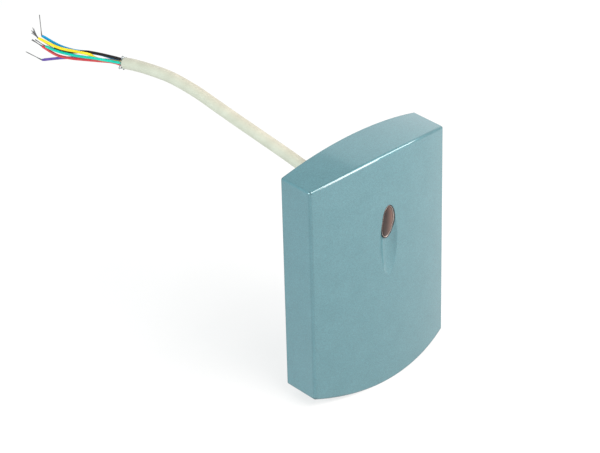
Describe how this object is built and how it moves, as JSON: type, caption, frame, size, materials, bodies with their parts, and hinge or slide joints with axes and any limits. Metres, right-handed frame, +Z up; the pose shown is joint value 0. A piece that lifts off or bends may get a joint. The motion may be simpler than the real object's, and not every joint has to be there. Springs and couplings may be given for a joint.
{
  "type": "rfid card reader",
  "caption": "Wall-mounted proximity card reader: bowed painted cover with an oval indicator window, hinged on a base plate with its electronics, and a pigtail cable.",
  "frame": {"origin": "centre of the base plate's wall face, on the reader's vertical centre line, midway between the crowns of its arched ends", "axes": "+X right as seen from the front, +Y into the wall, +Z up"},
  "size_m": [0.08, 0.2245, 0.118],
  "materials": {
    "front_cover": "metallic teal paint on moulded ABS",
    "indicator_lens": "smoked brown, polished",
    "base_plate": "fine moulded texture",
    "light_pipe": "clear acrylic",
    "main_pcb": "green solder mask",
    "antenna_coil": "enamelled copper wire",
    "coil_leads": "enamelled copper wire, tinned ends",
    "microcontroller": "moulded epoxy",
    "reader_chip": "moulded epoxy",
    "line_driver": "moulded epoxy",
    "voltage_regulator": "moulded epoxy",
    "crystal": "plain metal can",
    "electrolytic_capacitors": "bare can",
    "power_inductor": "ferrite",
    "protection_diodes": "moulded epoxy",
    "chip_capacitors": "ceramic with tinned ends",
    "chip_resistors": "glazed ceramic with tinned ends",
    "tuning_capacitor": "dipped film capacitor",
    "buzzer": "moulded plastic",
    "status_leds": "clear resin over white body",
    "wire_header": "natural nylon",
    "wire_plug": "natural nylon",
    "inner_wires": "PVC insulation in six colours",
    "tamper_switch": "moulded plastic",
    "tamper_plunger": "natural acetal",
    "tamper_spring": "spring wire",
    "pcb_screws": "zinc plated",
    "threaded_insert": "turned brass",
    "cover_screw": "stainless",
    "screw_retaining_ring": "nylon",
    "cable_grommet": "soft black rubber",
    "cable_tie": "nylon",
    "cable_jacket": "warm light grey PVC",
    "cable_shield": "foil screen",
    "wire_black": "PVC insulation",
    "wire_yellow": "PVC insulation",
    "wire_blue": "PVC insulation",
    "wire_green": "PVC insulation",
    "wire_red": "PVC insulation",
    "wire_violet": "PVC insulation",
    "wire_tips": "tinned copper"
  },
  "bodies": {
    "base": {"base_plate": "base_plate", "light_pipe": "light_pipe", "main_pcb": "main_pcb", "antenna_coil": "antenna_coil", "coil_leads": "coil_leads", "microcontroller": "microcontroller", "reader_chip": "reader_chip", "line_driver": "line_driver", "voltage_regulator": "voltage_regulator", "crystal": "crystal", "electrolytic_capacitors": "electrolytic_capacitors", "power_inductor": "power_inductor", "protection_diodes": "protection_diodes", "chip_capacitors": "chip_capacitors", "chip_resistors": "chip_resistors", "tuning_capacitor": "tuning_capacitor", "buzzer": "buzzer", "status_leds": "status_leds", "wire_header": "wire_header", "wire_plug": "wire_plug", "inner_wires": "inner_wires", "tamper_switch": "tamper_switch", "tamper_spring": "tamper_spring", "pcb_screws": "pcb_screws", "threaded_insert": "threaded_insert", "cable_grommet": "cable_grommet", "cable_tie": "cable_tie", "cable_jacket": "cable_jacket", "cable_shield": "cable_shield", "wire_black": "wire_black", "wire_yellow": "wire_yellow", "wire_blue": "wire_blue", "wire_green": "wire_green", "wire_red": "wire_red", "wire_violet": "wire_violet", "wire_tips": "wire_tips"},
    "cover": {"front_cover": "front_cover", "indicator_lens": "indicator_lens"},
    "screw_ring": {"screw_retaining_ring": "screw_retaining_ring"},
    "lock_screw": {"cover_screw": "cover_screw"},
    "tamper": {"tamper_plunger": "tamper_plunger"}
  },
  "joints": [
    {"name": "cover_swing", "type": "hinge", "parent": "base", "child": "cover", "pos_m": [0, -0.0055, 0.053], "axis": [-1, 0, 0], "range_deg": [0, 12]},
    {"name": "cover_screw_travel", "type": "slide", "parent": "base", "child": "screw_ring", "axis": [0, 0, -1], "range_m": [0, 0.004]},
    {"name": "cover_screw_turn", "type": "hinge", "parent": "screw_ring", "child": "lock_screw", "pos_m": [0, -0.007, -0.055], "axis": [0, 0, 1], "range_deg": [0, 2880]},
    {"name": "tamper_press", "type": "slide", "parent": "base", "child": "tamper", "axis": [0, -1, 0], "range_m": [0, 0.0013], "stiffness_N_per_m": 200, "springref_m": -0.002, "deforming": ["tamper_spring"]}
  ],
  "couplings": [
    {"joint": "cover_screw_turn", "follows": "cover_screw_travel", "rad_per_m": 12566}
  ]
}
